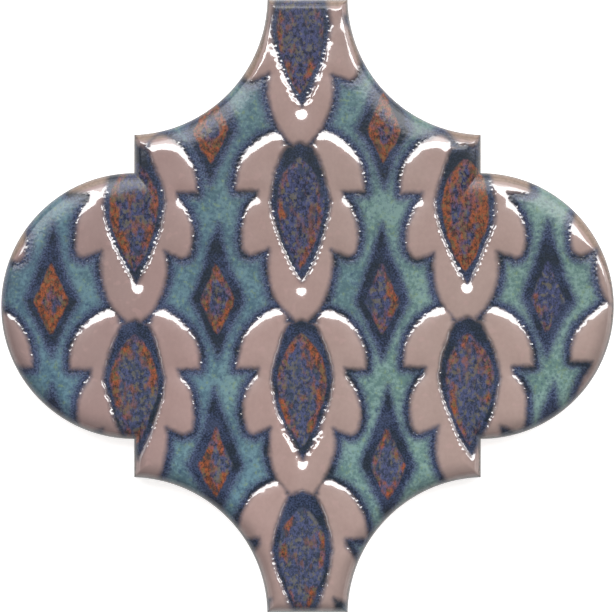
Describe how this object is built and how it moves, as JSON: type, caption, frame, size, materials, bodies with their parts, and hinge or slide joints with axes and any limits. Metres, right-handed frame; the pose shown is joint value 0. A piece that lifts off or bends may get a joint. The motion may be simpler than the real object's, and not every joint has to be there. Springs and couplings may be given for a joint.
{
  "type": "arabesque wall tile",
  "caption": "Glazed ceramic tile in an arabesque lantern outline, with raised leaf-shaped pools of glaze on its face and a keyed back.",
  "frame": {"origin": "centre of the back, on the plane of the ribs the tile rests on", "axes": "+Z out of the glazed face, +Y towards the head of the leaf pattern, +X to the right seen from the glazed face"},
  "size_m": [0.152, 0.152, 0.0102],
  "materials": {
    "glazed_face": "gloss"
  },
  "bodies": {
    "root": {"tile": "glazed_face"}
  },
  "joints": []
}
